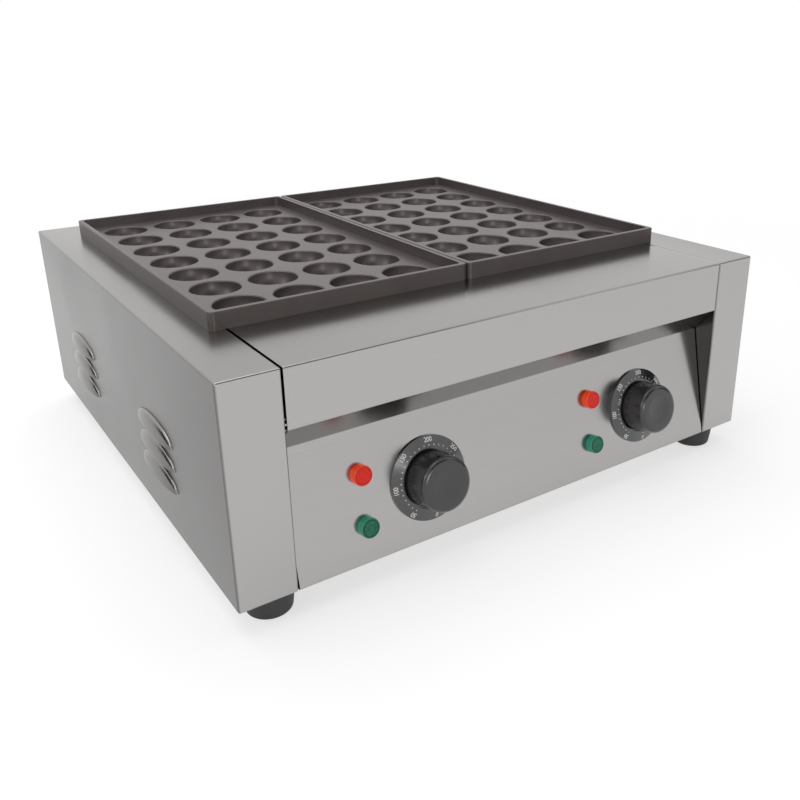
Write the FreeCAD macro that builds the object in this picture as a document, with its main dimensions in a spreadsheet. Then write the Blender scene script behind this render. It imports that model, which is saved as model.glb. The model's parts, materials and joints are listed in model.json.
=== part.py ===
import FreeCAD, Part
import Sketcher
import os
import re

# Countertop ball-mould griddle: a folded steel case with a set-back control panel, two cast
# plates of round moulds that lift off, a heating element under each plate, and two dials.
# X runs to the right, Y to the back and Z up. The origin is on the table, under the case's centre.

doc = FreeCAD.newDocument("BallGriddle")
sheet = doc.addObject("Spreadsheet::Sheet", "Sizes")

# Driving dimensions, in millimetres (counts and angles are marked)
SIZES = [
    ("body_width", "500", "case, side wall to side wall"),
    ("body_depth", "492", "case, front to back"),
    ("body_height", "164", "case without its feet"),
    ("steel", "1.2", "sheet thickness of the case"),
    ("bend", "1.6", "outside radius of the bends that show"),
    ("seam", "1", "gap between end housings and middle covers"),
    ("front_return", "34", "end housing, depth of the flange turned in at the front"),
    ("back_return", "30", "end housing, depth of the flange turned in at the back"),
    ("top_flange", "24", "depth of the flanges turned down round the opening"),
    ("base_flange", "50", "depth of the flanges turned in under the case"),
    ("fascia_height", "43", "upright band above the control panel"),
    ("return_drop", "22.4", "height of the sloped strip under the fascia"),
    ("recess_depth", "20", "how far the panel's top edge stands back"),
    ("lip", "12", "flanges that join fascia and panel"),
    ("pan_lap", "20", "how far the base pan reaches into the end housings"),
    ("pan_gap", "1", "base pan to the end housings' flanges"),
    ("mould_columns", "4", "moulds across one plate (count)"),
    ("mould_rows", "7", "moulds along one plate (count)"),
    ("mould_pitch", "48.5", "centre to centre of the moulds"),
    ("mould_radius", "20", "inside radius of one mould"),
    ("mould_wall", "3", "iron round one mould"),
    ("mouth_bevel", "0.8", "bevel round the mouth of a mould"),
    ("plate_margin", "36.3", "outer mould centre to the rim's outer face"),
    ("plate_gap", "1", "gap between the two plates"),
    ("plate_setback", "89", "case front to the front of the plates"),
    ("rim_height", "13.6", "rim above the case top"),
    ("rim_depth", "9", "plate floor below the rim's top"),
    ("rim_wall", "4", "rim thickness"),
    ("rim_corner", "4", "rim corner radius, seen from above"),
    ("rim_edge", "0.8", "rounding of the rim's top edges"),
    ("floor_iron", "4", "plate floor thickness"),
    ("rim_lap", "11.7", "how far the rims lie on the case"),
    ("tray_steel", "1", "heater tray sheet"),
    ("tray_top", "8", "tray wall's top below the case top"),
    ("tray_depth", "46", "tray underside below the case top"),
    ("element_radius", "4", "heating element tube"),
    ("element_gap", "10", "moulds to element"),
    ("element_room", "8", "element bends to the tray walls"),
    ("terminal_reach", "20", "element ends in front of the tray"),
    ("stud_radius", "2", "threaded stud on an element end"),
    ("stud_length", "10", "threaded stud on an element end"),
    ("hex_radius", "7", "element gland nut, across corners"),
    ("hex_height", "6", "element gland nut"),
    ("rest_width", "10", "element rest bar"),
    ("rest_inset", "95", "rest bars from the tray's ends"),
    ("bulb_radius", "3", "sensor bulb"),
    ("bulb_length", "90", "sensor bulb"),
    ("bulb_drop", "26.4", "sensor line below the case top"),
    ("capillary_radius", "1", "sensor capillary"),
    ("capillary_bend", "15", "capillary bend radius"),
    ("capillary_setback", "38", "upright capillary behind the case front"),
    ("capillary_depth", "6", "capillary end inside the thermostat"),
    ("dial_offset", "15", "dial to the right of its plate's centre"),
    ("dial_rise", "48", "dial above the panel's lower edge"),
    ("ring_radius", "32.3", "dial ring"),
    ("ring_edge", "1.6", "dial ring, thickness of its outer edge"),
    ("ring_rise", "4", "dial ring, height of its inner edge"),
    ("ring_floor", "1.4", "dial ring, floor behind the knob"),
    ("ring_inner", "22.7", "dial ring, recess round the knob"),
    ("ring_land", "1", "dial ring, flat at the inner edge"),
    ("knob_radius", "21.5", "knob at its base"),
    ("knob_taper", "0.8", "how much smaller the knob's face is"),
    ("knob_face", "26.5", "knob face off the panel"),
    ("knob_base", "2.6", "knob base off the panel"),
    ("knob_round", "4", "rounded shoulder of the knob"),
    ("knob_wall", "3", "knob wall"),
    ("knob_top", "5", "knob thickness at its face"),
    ("knob_hub", "7", "knob hub radius"),
    ("dish_radius", "12", "shallow dish in the knob's face"),
    ("dish_depth", "0.9", "shallow dish in the knob's face"),
    ("mark_depth", "0.35", "pointer groove in the shoulder"),
    ("mark_angle", "4.5", "pointer groove, seen from the axis (degrees)"),
    ("pointer_angle", "-3", "pointer as found, clockwise from the top (degrees)"),
    ("shaft_radius", "3", "thermostat shaft"),
    ("shaft_end", "19", "shaft end off the panel"),
    ("shaft_depth", "9", "shaft inside the thermostat"),
    ("shaft_flat", "0.8", "depth of the flat on the shaft"),
    ("flat_length", "10", "length of the flat on the shaft"),
    ("running_gap", "0.05", "radial clearance of turning shafts"),
    ("fit_gap", "0.1", "radial clearance of fixed round fits"),
    ("hole_gap", "0.3", "radial clearance of screw and lamp holes"),
    ("bush_radius", "5", "thermostat bush"),
    ("bracket_width", "46", "thermostat bracket"),
    ("bracket_height", "24", "thermostat bracket"),
    ("bracket_steel", "1.5", "thermostat bracket"),
    ("control_width", "40", "thermostat body"),
    ("control_height", "34", "thermostat body"),
    ("control_depth", "28", "thermostat body"),
    ("bracket_pitch", "28", "thermostat screws, centre to centre"),
    ("small_screw", "2", "thermostat screw, shank radius"),
    ("small_head", "3.6", "thermostat screw, head radius"),
    ("small_head_height", "1.8", "thermostat screw, head height"),
    ("lamp_offset", "-40", "lamps from their plate's centre"),
    ("upper_lamp_rise", "67", "heating lamp above the panel's lower edge"),
    ("lower_lamp_rise", "28", "power lamp above the panel's lower edge"),
    ("lens_radius", "7.5", "lamp lens"),
    ("lens_height", "6", "lamp lens off the panel"),
    ("lens_round", "1", "lamp lens, edge rounding"),
    ("lens_face", "1.5", "lamp lens, thickness of its face"),
    ("lens_stem", "5.9", "lamp lens, stem radius"),
    ("lens_bore", "4.6", "lamp lens, bore radius"),
    ("stem_length", "9", "lamp lens, stem behind the panel's face"),
    ("holder_radius", "8.2", "lamp holder"),
    ("holder_length", "24", "lamp holder behind the panel"),
    ("tab_width", "4.8", "push-on terminal"),
    ("tab_length", "8", "push-on terminal"),
    ("tab_steel", "0.8", "push-on terminal"),
    ("tab_spread", "7", "lamp terminals, centre to centre"),
    ("foot_height", "20", "feet under the case"),
    ("foot_inset", "30", "foot centre to the side wall"),
    ("foot_setback", "23", "foot centre to the front and back"),
    ("foot_top", "19", "foot radius at the case"),
    ("foot_bottom", "16.5", "foot radius at the table"),
    ("foot_round", "3", "rounding of the foot's lower edge"),
    ("foot_well", "8", "screw well in the foot"),
    ("foot_web", "6", "rubber over the screw head"),
    ("foot_screw", "2.5", "foot screw, shank radius"),
    ("foot_head", "5", "foot screw, head radius"),
    ("foot_head_height", "3.5", "foot screw, head height"),
    ("foot_nut", "5", "foot nut, corner radius"),
    ("foot_nut_height", "4", "foot nut height"),
    ("base_screw", "2", "base screw, shank radius"),
    ("base_head", "3.8", "base screw, head radius"),
    ("base_head_height", "2", "base screw, head height"),
    ("base_screw_length", "8", "base screw, shank length"),
    ("base_screw_pitch", "150", "base screws, side to side"),
    ("base_screw_inset", "43", "base screws from front and back"),
    ("louvre_length", "80", "one louvre"),
    ("louvre_reach", "5", "louvre outside the wall"),
    ("louvre_height", "12.5", "louvre above its opening"),
    ("louvre_pitch", "18", "louvre to louvre, upwards"),
    ("louvre_base", "40", "lowest opening above the case underside"),
    ("louvre_front", "145", "front group's centre behind the case front"),
    ("louvre_spacing", "215", "front group to back group"),
    ("louvre_rows", "3", "louvres in one group (count)"),
    ("slot_length", "40", "vent slot, length"),
    ("slot_width", "4", "vent slot, width"),
    ("slot_pitch", "12", "vent slot to vent slot"),
    ("slot_rows", "6", "vent slots in one group (count)"),
    ("back_slot_rise", "55", "back vents above the case underside"),
    ("back_slot_offset", "110", "back vents from the middle"),
    ("pan_slot_offset", "120", "base vents from the middle"),
    ("gland_offset", "-60", "cable gland from the middle"),
    ("gland_rise", "34", "cable gland above the case underside"),
    ("gland_hex", "11", "cable gland, corner radius of its nuts"),
    ("gland_flange", "6", "cable gland, fixed hex outside"),
    ("gland_reach", "20.5", "cable gland outside the case"),
    ("gland_dome", "9.3", "cable gland, dome nut radius"),
    ("gland_mouth", "6.4", "cable gland, mouth radius"),
    ("gland_stem", "7.8", "cable gland, threaded stem radius"),
    ("gland_tail", "9", "cable gland, stem inside the case"),
    ("gland_bore", "4.3", "cable gland, bore radius"),
    ("locknut_height", "5", "cable gland locknut"),
    ("block_offset", "-60", "terminal block from the middle"),
    ("block_setback", "78", "terminal block from the case back"),
    ("block_width", "56", "terminal block"),
    ("block_depth", "22", "terminal block"),
    ("block_height", "18", "terminal block"),
    ("block_ways", "4", "terminal block ways (count)"),
    ("way_radius", "3", "terminal block screw wells"),
    ("way_depth", "7", "terminal block screw wells"),
    ("earth_offset", "0", "earth stud from the middle"),
    ("earth_setback", "78", "earth stud from the case back"),
    ("earth_radius", "2.5", "earth stud"),
    ("earth_height", "16", "earth stud above the base pan"),
    ("earth_nut", "4.6", "earth stud nut, corner radius"),
    ("earth_nut_height", "4", "earth stud nut"),
]
for row, (alias, number, note) in enumerate(SIZES, start=1):
    sheet.set(f"A{row}", alias)
    sheet.set(f"B{row}", number)
    sheet.set(f"C{row}", note)
    sheet.setAlias(f"B{row}", alias)
doc.recompute()

ALIASES = {alias for alias, number, note in SIZES}
WORD = re.compile(r"[a-z][a-z_]*")


def tied(text):
    """Write a formula of the sheet's words as an expression that the document understands."""
    return WORD.sub(lambda word: f"Sizes.{word[0]}" if word[0] in ALIASES else word[0], str(text))


def size(alias):
    """The number that the sheet holds under one word."""
    return float(sheet.get(alias))


def minus(text):
    return f"-({text})"


# Places that several pieces share, as formulas of the sheet's words
FRONT = "(-body_depth/2)"
BACK = "(body_depth/2)"
BASE = "foot_height"
TOP = "(foot_height + body_height)"
SIDE = "(body_width/2)"
PLATE_WIDTH = "((mould_columns - 1)*mould_pitch + 2*plate_margin)"
PLATE_LENGTH = "((mould_rows - 1)*mould_pitch + 2*plate_margin)"
PLATE_CENTRE = f"((plate_gap + {PLATE_WIDTH})/2)"
PLATE_FRONT = f"({FRONT} + plate_setback)"
INNER = f"(plate_gap/2 + {PLATE_WIDTH} - rim_lap)"
COVER = f"({INNER} - seam)"
OPEN_FRONT = f"({PLATE_FRONT} + rim_lap)"
OPEN_BACK = f"({PLATE_FRONT} + {PLATE_LENGTH} - rim_lap)"
RAIL = "(plate_gap/2 + rim_lap)"
PLATE_FLOOR = f"({TOP} + rim_height - rim_depth)"
MOULD_UNDER = f"({PLATE_FLOOR} - mould_radius - mould_wall)"
ELEMENT_LEVEL = f"({MOULD_UNDER} - element_gap - element_radius)"
TRAY_FLOOR = f"({TOP} - tray_depth + tray_steel)"
BULB_LEVEL = f"({TOP} - bulb_drop)"
FIRST_BEND = f"({OPEN_FRONT} + tray_steel + element_room + element_radius + mould_pitch/2)"
LAST_BEND = f"({OPEN_BACK} - tray_steel - element_room - element_radius - mould_pitch/2)"
PANEL_RISE = "(body_height - fascia_height - return_drop)"
PANEL_LENGTH = f"(sqrt(recess_depth^2 + {PANEL_RISE}^2))"
PAN_TOP = "(foot_height + 2*steel)"

nodes = []


def node(thing, label):
    """Name a finished piece; its label is the name of its file."""
    thing.Label = label
    nodes.append(thing)
    return thing


def put(thing, x="0", y="0", z="0", axis=None, angle=None):
    """Place a piece by formulas, turned by an angle about one of the three directions."""
    if axis is not None:
        direction = FreeCAD.Vector(*[1 if name == axis else 0 for name in "XYZ"])
        thing.Placement = FreeCAD.Placement(FreeCAD.Vector(), FreeCAD.Rotation(direction, 10))
        thing.setExpression(".Placement.Rotation.Angle", tied(angle))
    for letter, text in zip("xyz", (x, y, z)):
        thing.setExpression(f".Placement.Base.{letter}", tied(text))
    return thing


def block(x, y, z):
    """A straight block between pairs of formulas."""
    thing = doc.addObject("Part::Box", "Block")
    for name, (low, high) in zip(("Length", "Width", "Height"), (x, y, z)):
        thing.setExpression(name, tied(f"({high}) - ({low})"))
    return put(thing, x[0], y[0], z[0])


def sided(side, low, high):
    """The same stretch of X on the right (side 1) or mirrored to the left (side -1)."""
    return (low, high) if side > 0 else (minus(high), minus(low))


def rod(radius, height, x="0", y="0", z="0", axis=None, angle=None):
    thing = doc.addObject("Part::Cylinder", "Rod")
    thing.setExpression("Radius", tied(radius))
    thing.setExpression("Height", tied(height))
    return put(thing, x, y, z, axis, angle)


def rod_back(radius, x, y, z):
    """A rod that runs towards the back between a pair of formulas in Y."""
    return rod(radius, f"({y[1]}) - ({y[0]})", x, y[1], z, "X", "90")


def hex_bar(radius, height, x="0", y="0", z="0", axis=None, angle=None):
    thing = doc.addObject("Part::Prism", "Hex")
    thing.Polygon = 6
    thing.setExpression("Circumradius", tied(radius))
    thing.setExpression("Height", tied(height))
    return put(thing, x, y, z, axis, angle)


def joined(*things):
    if len(things) == 1:
        return things[0]
    thing = doc.addObject("Part::MultiFuse", "Joined")
    thing.Shapes = list(things)
    return thing


def cut(base, *tools):
    thing = doc.addObject("Part::Cut", "Cut")
    thing.Base = base
    thing.Tool = joined(*tools)
    return thing


def group(*things):
    """Separate solids that share one node."""
    thing = doc.addObject("Part::Compound", "Group")
    thing.Links = list(things)
    return thing


def rounded(base, radius, wanted):
    """Round the edges of a piece that the test picks."""
    doc.recompute()
    thing = doc.addObject("Part::Fillet", "Rounded")
    thing.Base = base
    picked = [n for n, edge in enumerate(base.Shape.Edges, start=1) if wanted(edge)]
    thing.Edges = [(n, radius, radius) for n in picked]
    return thing


def closed_sketch(body, plane, corners):
    """A closed outline in a body's own plane, with each corner tied to the sheet."""
    sketch = body.newObject("Sketcher::SketchObject", "Outline")
    flat = [feature for feature in body.Origin.OriginFeatures if feature.Role == plane][0]
    sketch.AttachmentSupport = [(flat, "")]
    sketch.MapMode = "FlatFace"
    rough = [(sheet_value(across), sheet_value(up)) for across, up in corners]
    count = len(corners)
    for n in range(count):
        start = FreeCAD.Vector(*rough[n], 0)
        end = FreeCAD.Vector(*rough[(n + 1) % count], 0)
        sketch.addGeometry(Part.LineSegment(start, end), False)
    for n in range(count):
        sketch.addConstraint(Sketcher.Constraint("Coincident", n, 2, (n + 1) % count, 1))
    for n in range(count):
        for kind, part in (("DistanceX", 0), ("DistanceY", 1)):
            number = sketch.addConstraint(Sketcher.Constraint(kind, -1, 1, n, 1, rough[n][part]))
            sketch.renameConstraint(number, f"corner{n}_{kind}")
            sketch.setExpression(f"Constraints.corner{n}_{kind}", tied(corners[n][part]))
    return sketch


def sheet_value(text):
    """The present value of a formula, for a sketch's first shape."""
    return float(sheet.evalExpression(tied(text)))


def folded(corners, half_length):
    """A folded sheet: its section in the Y-Z plane, drawn out both ways along X."""
    body = doc.addObject("PartDesign::Body", "Folded")
    sketch = closed_sketch(body, "YZ_Plane", corners)
    pad = body.newObject("PartDesign::Pad", "Length")
    pad.Profile = sketch
    pad.SideType = "Symmetric"
    pad.setExpression("Length", tied(f"2*{half_length}"))
    return body


def turned(corners):
    """A turned piece: its section in radius and height, revolved about its own axis."""
    body = doc.addObject("PartDesign::Body", "Turned")
    sketch = closed_sketch(body, "XZ_Plane", corners)
    turn = body.newObject("PartDesign::Revolution", "Turn")
    turn.Profile = sketch
    turn.ReferenceAxis = (sketch, ["V_Axis"])
    turn.Angle = 360
    return body


def on_panel(thing, x, rise):
    """Stand a piece on the sloped panel: its own Z points out of the panel, its own Y up it."""
    y = f"{FRONT} + ({rise})*recess_depth/{PANEL_LENGTH}"
    z = f"{BASE} + ({rise})*{PANEL_RISE}/{PANEL_LENGTH}"
    return put(thing, x, y, z, "X", f"atan({PANEL_RISE}/recess_depth)")


def is_ring(radius, height):
    """A test for the circular edge of a turned piece at one radius and height."""
    def wanted(edge):
        curve = edge.Curve
        if not isinstance(curve, Part.Circle):
            return False
        return abs(curve.Radius - radius) < 0.001 and abs(curve.Center.z - height) < 0.001
    return wanted


def is_fold(y, z):
    """A test for the long edge along X at one place of a folded sheet's section."""
    def wanted(edge):
        middle = edge.BoundBox.Center
        straight = edge.BoundBox.XLength > 0.9 * edge.Length
        return straight and abs(middle.y - y) < 0.001 and abs(middle.z - z) < 0.001
    return wanted


def any_of(*tests):
    return lambda edge: any(test(edge) for test in tests)


def end_housing(side, label):
    """A closed box of folded steel at one end, open towards the middle inside its flanges."""
    across = sided(side, INNER, SIDE)
    shell = block(across, (FRONT, BACK), (BASE, TOP))
    shell = rounded(shell, size("bend"), lambda edge: True)
    hollow = block(
        sided(side, f"{INNER} + steel", f"{SIDE} - steel"),
        (f"{FRONT} + steel", f"{BACK} - steel"),
        (f"{BASE} + steel", f"{TOP} - steel"))
    window = block(
        sided(side, f"{INNER} - steel", f"{INNER} + 2*steel"),
        (f"{FRONT} + front_return", f"{BACK} - back_return"),
        (f"{BASE} + steel", f"{TOP} - top_flange"))
    domes = []
    mouths = []
    for group_number in range(2):
        for row in range(int(size("louvre_rows"))):
            middle = f"{FRONT} + louvre_front + {group_number}*louvre_spacing"
            level = f"{BASE} + louvre_base + {row}*louvre_pitch"
            domes.append(louvre(side, middle, level, "0", 180))
            mouths.append(louvre(side, middle, level, "steel", 360))
    holes = [rod("foot_screw + hole_gap", "3*steel", f"{side}*({SIDE} - foot_inset)", y,
                 f"{BASE} - steel") for y in FOOT_ROWS]
    pierced = cut(joined(shell, *domes), hollow, window, *mouths, *holes)
    return node(pierced, label)


def louvre(side, middle, level, inset, sweep):
    """The upper half of a flat egg on the side wall, smaller all round by the inset."""
    thing = doc.addObject("Part::Ellipsoid", "Louvre")
    thing.Angle1 = 0
    thing.Angle2 = 90
    thing.Angle3 = sweep
    thing.setExpression("Radius1", tied(f"louvre_height - {inset}"))
    thing.setExpression("Radius2", tied(f"louvre_length/2 - {inset}"))
    thing.setExpression("Radius3", tied(f"louvre_reach - {inset}"))
    return put(thing, f"{side}*{SIDE}", middle, level, "Z", str(-90 * side))


FOOT_ROWS = (f"{FRONT} + foot_setback", f"{BACK} - foot_setback")

end_housing(-1, "left_end_housing")
end_housing(1, "right_end_housing")

# Front cover: apron on top, upright fascia, sloped strip and a lip over the panel's flange
SLOPE = "(sqrt(recess_depth^2 + return_drop^2))"
FASCIA_FOOT = f"({TOP} - fascia_height)"
PANEL_TOP = f"({BASE} + {PANEL_RISE})"
cover = folded([
    (OPEN_FRONT, f"{TOP} - top_flange"),
    (OPEN_FRONT, TOP),
    (FRONT, TOP),
    (FRONT, FASCIA_FOOT),
    (f"{FRONT} + recess_depth", PANEL_TOP),
    (f"{FRONT} + recess_depth + lip", PANEL_TOP),
    (f"{FRONT} + recess_depth + lip", f"{PANEL_TOP} + steel"),
    (f"{FRONT} + recess_depth + steel*({SLOPE} - recess_depth)/return_drop", f"{PANEL_TOP} + steel"),
    (f"{FRONT} + steel", f"{FASCIA_FOOT} + steel*({SLOPE} - return_drop)/recess_depth"),
    (f"{FRONT} + steel", f"{TOP} - steel"),
    (f"{OPEN_FRONT} - steel", f"{TOP} - steel"),
    (f"{OPEN_FRONT} - steel", f"{TOP} - top_flange"),
], COVER)
FRONT_BENDS = any_of(
    is_fold(sheet_value(OPEN_FRONT), sheet_value(TOP)),
    is_fold(sheet_value(FRONT), sheet_value(TOP)),
    is_fold(sheet_value(FRONT), sheet_value(FASCIA_FOOT)))
node(rounded(cover, size("bend"), FRONT_BENDS), "front_cover")


def base_screw_places():
    """Where the base screws stand: three along the front flange and three along the back."""
    rows = (f"{FRONT} + base_screw_inset", f"{BACK} - base_screw_inset")
    return [(f"{n}*base_screw_pitch", y) for y in rows for n in (-1, 0, 1)]


def base_screw_holes():
    return [rod("base_screw + hole_gap", "4*steel", x, y, f"{BASE} - steel")
            for x, y in base_screw_places()]


# Control panel: a sloped face with a flange under the front cover and one under the base pan
panel = folded([
    (FRONT, BASE),
    (f"{FRONT} + recess_depth", PANEL_TOP),
    (f"{FRONT} + recess_depth + lip", PANEL_TOP),
    (f"{FRONT} + recess_depth + lip", f"{PANEL_TOP} - steel"),
    (f"{FRONT} + recess_depth + steel*({PANEL_LENGTH} - recess_depth)/{PANEL_RISE}",
     f"{PANEL_TOP} - steel"),
    (f"{FRONT} + steel*({PANEL_LENGTH} + recess_depth)/{PANEL_RISE}", f"{BASE} + steel"),
    (f"{FRONT} + base_flange", f"{BASE} + steel"),
    (f"{FRONT} + base_flange", BASE),
], COVER)
panel_bend = is_fold(sheet_value(FRONT), sheet_value(BASE))
panel = rounded(panel, size("bend"), panel_bend)


def side_centre(side):
    return f"{side}*{PLATE_CENTRE}"


def dial_x(side):
    return f"{side_centre(side)} + dial_offset"


def lamp_x(side):
    return f"{side_centre(side)} + lamp_offset"


def panel_holes():
    """The round holes square through the panel: shaft bushes, their screws and the lamps."""
    holes = []
    for side in (-1, 1):
        holes.append(panel_hole("bush_radius + fit_gap", dial_x(side), "dial_rise"))
        for way in (-1, 1):
            x = f"{dial_x(side)} + {way}*bracket_pitch/2"
            holes.append(panel_hole("small_screw + hole_gap", x, "dial_rise"))
        for level, rise in LAMP_RISES:
            holes.append(panel_hole("lens_stem + hole_gap", lamp_x(side), rise))
    return holes


def panel_hole(radius, x, rise):
    return on_panel(group(rod(radius, "6*steel", z="-3*steel")), x, rise)


LAMP_RISES = (("upper", "upper_lamp_rise"), ("lower", "lower_lamp_rise"))
node(cut(panel, *panel_holes(), *base_screw_holes()), "control_panel")


def slots(x, y, z, step):
    """A row of vent slots: one block, repeated by a step in Y or Z."""
    rows = []
    for n in range(int(size("slot_rows"))):
        shift_y = f" + {n}*slot_pitch" if step == "Y" else ""
        shift_z = f" + {n}*slot_pitch" if step == "Z" else ""
        rows.append(block(x, [f"{end}{shift_y}" for end in y], [f"{end}{shift_z}" for end in z]))
    return rows


# Rear cover: top strip, upright back with vents and the cable hole, and a flange under the case
back = folded([
    (OPEN_BACK, f"{TOP} - top_flange"),
    (OPEN_BACK, TOP),
    (BACK, TOP),
    (BACK, BASE),
    (f"{BACK} - base_flange", BASE),
    (f"{BACK} - base_flange", f"{BASE} + steel"),
    (f"{BACK} - steel", f"{BASE} + steel"),
    (f"{BACK} - steel", f"{TOP} - steel"),
    (f"{OPEN_BACK} + steel", f"{TOP} - steel"),
    (f"{OPEN_BACK} + steel", f"{TOP} - top_flange"),
], COVER)
BACK_BENDS = any_of(
    is_fold(sheet_value(OPEN_BACK), sheet_value(TOP)),
    is_fold(sheet_value(BACK), sheet_value(TOP)),
    is_fold(sheet_value(BACK), sheet_value(BASE)))
back = rounded(back, size("bend"), BACK_BENDS)
back_slots = []
for side in (-1, 1):
    x = f"{side}*back_slot_offset"
    back_slots += slots(
        (f"{x} - slot_length/2", f"{x} + slot_length/2"),
        (f"{BACK} - 2*steel", f"{BACK} + steel"),
        (f"{BASE} + back_slot_rise", f"{BASE} + back_slot_rise + slot_width"), "Z")
GLAND_LEVEL = f"({BASE} + gland_rise)"
gland_hole = rod_back("gland_stem + hole_gap", "gland_offset",
                      (f"{BACK} - 2*steel", f"{BACK} + steel"), GLAND_LEVEL)
node(cut(back, gland_hole, *back_slots, *base_screw_holes()), "rear_cover")

# Base pan: lies on the flanges of the panel and rear cover, and on the end housings' floors
pan = block(
    (f"-({INNER} + pan_lap)", f"{INNER} + pan_lap"),
    (f"{FRONT} + front_return + pan_gap", f"{BACK} - back_return - pan_gap"),
    (f"{BASE} + steel", f"{BASE} + 2*steel"))
pan_slots = []
for side in (-1, 1):
    x = f"{side}*pan_slot_offset"
    first = "-(slot_rows - 1)*slot_pitch/2"
    pan_slots += slots(
        (f"{x} - slot_length/2", f"{x} + slot_length/2"),
        (f"{first} - slot_width/2", f"{first} + slot_width/2"),
        (f"{BASE} - steel", f"{BASE} + 3*steel"), "Y")
earth_hole = rod("earth_radius + fit_gap", "3*steel", "earth_offset", f"{BACK} - earth_setback", BASE)
node(cut(pan, *pan_slots, earth_hole, *base_screw_holes()), "base_pan")

# Centre rail: a channel under the joint of the two plates, between the front and rear covers
rail = cut(
    block((minus(RAIL), RAIL), (OPEN_FRONT, OPEN_BACK), (f"{TOP} - top_flange", TOP)),
    block((f"-({RAIL} - steel)", f"{RAIL} - steel"), (OPEN_FRONT, OPEN_BACK),
          (f"{TOP} - top_flange", f"{TOP} - steel")))
node(rail, "centre_rail")


def heater_tray(side, label):
    """An open pan under one plate, held by the flanges round the opening."""
    shell = block(sided(side, RAIL, INNER), (OPEN_FRONT, OPEN_BACK),
                  (f"{TOP} - tray_depth", f"{TOP} - tray_top"))
    room = block(
        sided(side, f"{RAIL} + tray_steel", f"{INNER} - tray_steel"),
        (f"{OPEN_FRONT} + tray_steel", f"{OPEN_BACK} - tray_steel"),
        (TRAY_FLOOR, TOP))
    wall = (f"{OPEN_FRONT} - tray_steel", f"{OPEN_FRONT} + 2*tray_steel")
    holes = [rod_back("element_radius + fit_gap", leg_x(side, n), wall, ELEMENT_LEVEL) for n in (0, 3)]
    holes.append(rod_back("capillary_radius + fit_gap", side_centre(side), wall, BULB_LEVEL))
    return node(cut(shell, room, *holes), label)


def leg_x(side, number):
    """The four legs of an element run under the four columns of moulds."""
    return f"{side_centre(side)} + {number - 1.5}*mould_pitch"


def half_ring(x, y, turn):
    """A half turn of element tube between two legs."""
    thing = doc.addObject("Part::Torus", "Bend")
    thing.Angle3 = 180
    thing.setExpression("Radius1", tied("mould_pitch/2"))
    thing.setExpression("Radius2", tied("element_radius"))
    return put(thing, x, y, ELEMENT_LEVEL, "Z", turn)


def heating_element(side, label):
    """One tube bent three times, with a threaded stud on each end in front of the tray."""
    ends = f"{OPEN_FRONT} - terminal_reach"
    legs = []
    for n in range(4):
        start = ends if n in (0, 3) else FIRST_BEND
        legs.append(rod_back("element_radius", leg_x(side, n), (start, LAST_BEND), ELEMENT_LEVEL))
    bends = [
        half_ring(f"{side_centre(side)} - mould_pitch", LAST_BEND, "0"),
        half_ring(f"{side_centre(side)} + mould_pitch", LAST_BEND, "0"),
        half_ring(side_centre(side), FIRST_BEND, "180")]
    studs = [rod_back("stud_radius", leg_x(side, n), (f"{ends} - stud_length", ends), ELEMENT_LEVEL)
             for n in (0, 3)]
    return node(joined(*legs, *bends, *studs), label)


def element_glands(side, label):
    """The hexagon nuts that hold the element's ends to the tray's front wall."""
    nuts = []
    for n in (0, 3):
        x = leg_x(side, n)
        nut = hex_bar("hex_radius", "hex_height", x, OPEN_FRONT, ELEMENT_LEVEL, "X", "90")
        bore = rod_back("element_radius + fit_gap", x,
                        (f"{OPEN_FRONT} - 2*hex_height", f"{OPEN_FRONT} + hex_height"), ELEMENT_LEVEL)
        nuts.append(cut(nut, bore))
    return node(group(*nuts), label)


def element_rests(side, label):
    """Two bars across the tray, saddled for the element's legs and the sensor bulb."""
    bars = []
    for middle in (f"{OPEN_FRONT} + rest_inset", f"{OPEN_BACK} - rest_inset"):
        along = (f"{middle} - rest_width/2", f"{middle} + rest_width/2")
        beyond = (f"{middle} - rest_width", f"{middle} + rest_width")
        bar = block(sided(side, f"{RAIL} + tray_steel", f"{INNER} - tray_steel"), along,
                    (TRAY_FLOOR, ELEMENT_LEVEL))
        post = block(
            (f"{side_centre(side)} - 2*bulb_radius", f"{side_centre(side)} + 2*bulb_radius"),
            along, (TRAY_FLOOR, BULB_LEVEL))
        saddles = [rod_back("element_radius + fit_gap", leg_x(side, n), beyond, ELEMENT_LEVEL)
                   for n in range(4)]
        saddles.append(rod_back("bulb_radius + fit_gap", side_centre(side), beyond, BULB_LEVEL))
        bars.append(cut(joined(bar, post), *saddles))
    return node(group(*bars), label)


# The thermostat's top face, at the setback where the capillary meets it
CONTROL_TOP = (
    f"({BASE} + (dial_rise + control_height/2)*{PANEL_LENGTH}/{PANEL_RISE}"
    f" - capillary_setback*recess_depth/{PANEL_RISE})")
CAPILLARY_END = f"({CONTROL_TOP} - capillary_depth)"


def sensor(side, label):
    """A liquid-filled bulb in the tray and the thin pipe from it down to the thermostat."""
    x = side_centre(side)
    bend_y = f"{FRONT} + capillary_setback + capillary_bend"
    bend_z = f"{BULB_LEVEL} - capillary_bend"
    bulb_start = f"{OPEN_FRONT} + rest_inset - rest_width"
    bulb = rod_back("bulb_radius", x, (bulb_start, f"{bulb_start} + bulb_length"), BULB_LEVEL)
    along = rod_back("capillary_radius", x, (bend_y, bulb_start), BULB_LEVEL)
    corner = doc.addObject("Part::Torus", "Corner")
    corner.Angle3 = 90
    corner.setExpression("Radius1", tied("capillary_bend"))
    corner.setExpression("Radius2", tied("capillary_radius"))
    put(corner, axis="X", angle="90")
    elbow = put(group(corner), x, bend_y, bend_z, "Z", "-90")
    down = rod("capillary_radius", f"{bend_z} - ({CAPILLARY_END})", x,
               f"{FRONT} + capillary_setback", CAPILLARY_END)
    return node(joined(bulb, along, elbow, down), label)


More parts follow.
